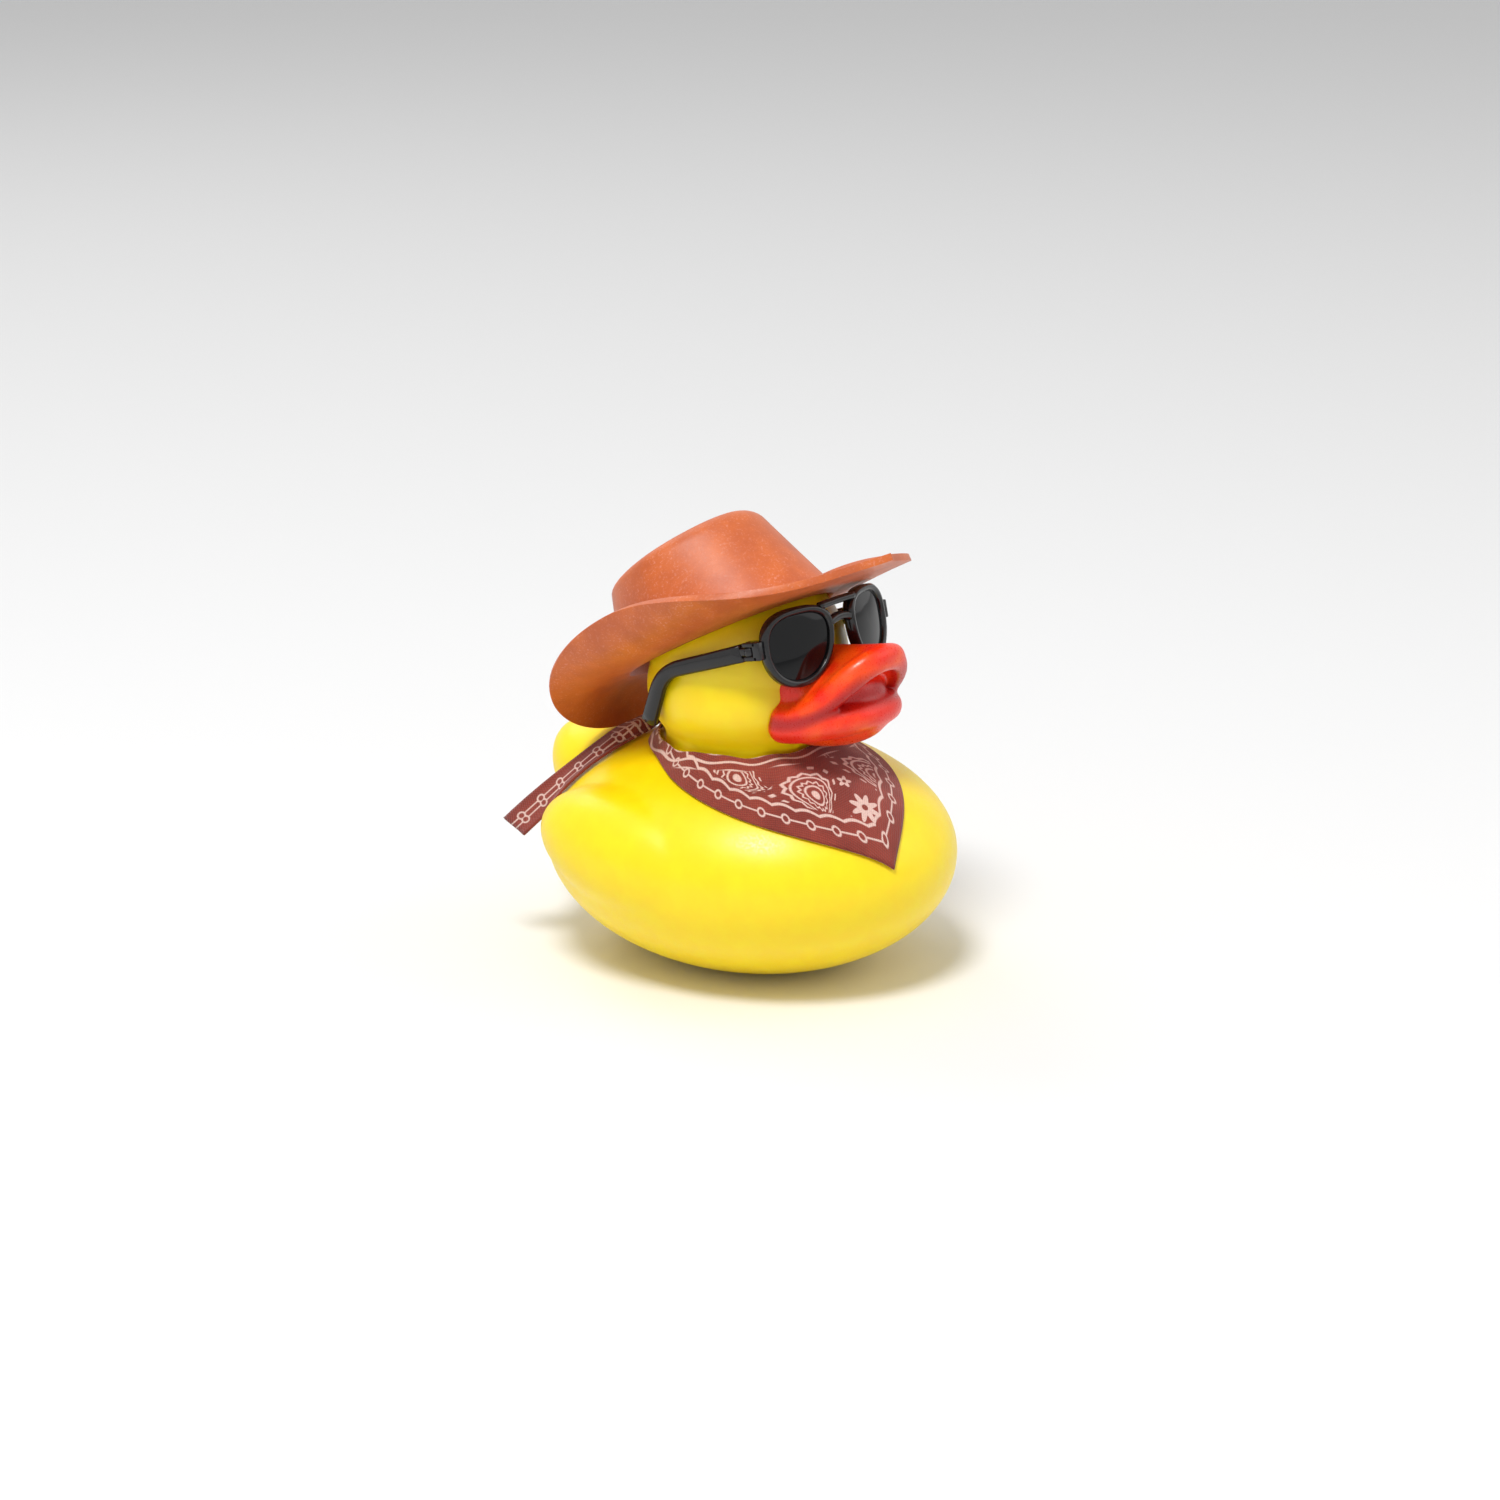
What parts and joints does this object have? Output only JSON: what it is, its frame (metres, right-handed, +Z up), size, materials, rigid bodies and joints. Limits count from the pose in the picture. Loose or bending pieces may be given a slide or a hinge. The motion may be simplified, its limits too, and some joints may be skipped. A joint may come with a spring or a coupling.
{
  "type": "rubber duck",
  "caption": "Yellow vinyl rubber duck with an orange-red bill, wearing a moulded cowboy hat, dark aviator sunglasses with hinged temples and a paisley bandana tied at its neck.",
  "frame": {"origin": "on the standing surface, under the middle of the whole length and width", "axes": "+Z up, -Y the way the duck faces, -X its right side"},
  "size_m": [0.0592, 0.0715, 0.0696],
  "materials": {
    "vinyl": "satin yellow soft vinyl, painted orange-red on the bill",
    "whistle": "plain white plastic",
    "hat": "reddish-brown soft moulded plastic, satin with a faint pale bloom",
    "frame": "glossy black plastic",
    "lens": "near-black smoked plastic, polished",
    "cloth": "woven rust-coloured cloth with a white paisley print"
  },
  "bodies": {
    "duck": {"duck_body": "vinyl", "squeaker": "whistle", "cowboy_hat": "hat", "glasses_frame": "frame", "lens_right": "lens", "lens_left": "lens", "bandana": "cloth"},
    "temple_right": {"temple_right": "frame"},
    "temple_left": {"temple_left": "frame"}
  },
  "joints": [
    {"name": "temple_right_hinge", "type": "hinge", "parent": "duck", "child": "temple_right", "pos_m": [-0.0153, -0.014, 0.05379], "axis": [0, 0.2079, 0.9781], "range_deg": [0, 10]},
    {"name": "temple_left_hinge", "type": "hinge", "parent": "duck", "child": "temple_left", "pos_m": [0.0153, -0.014, 0.05379], "axis": [0, -0.2079, -0.9781], "range_deg": [0, 10]}
  ]
}
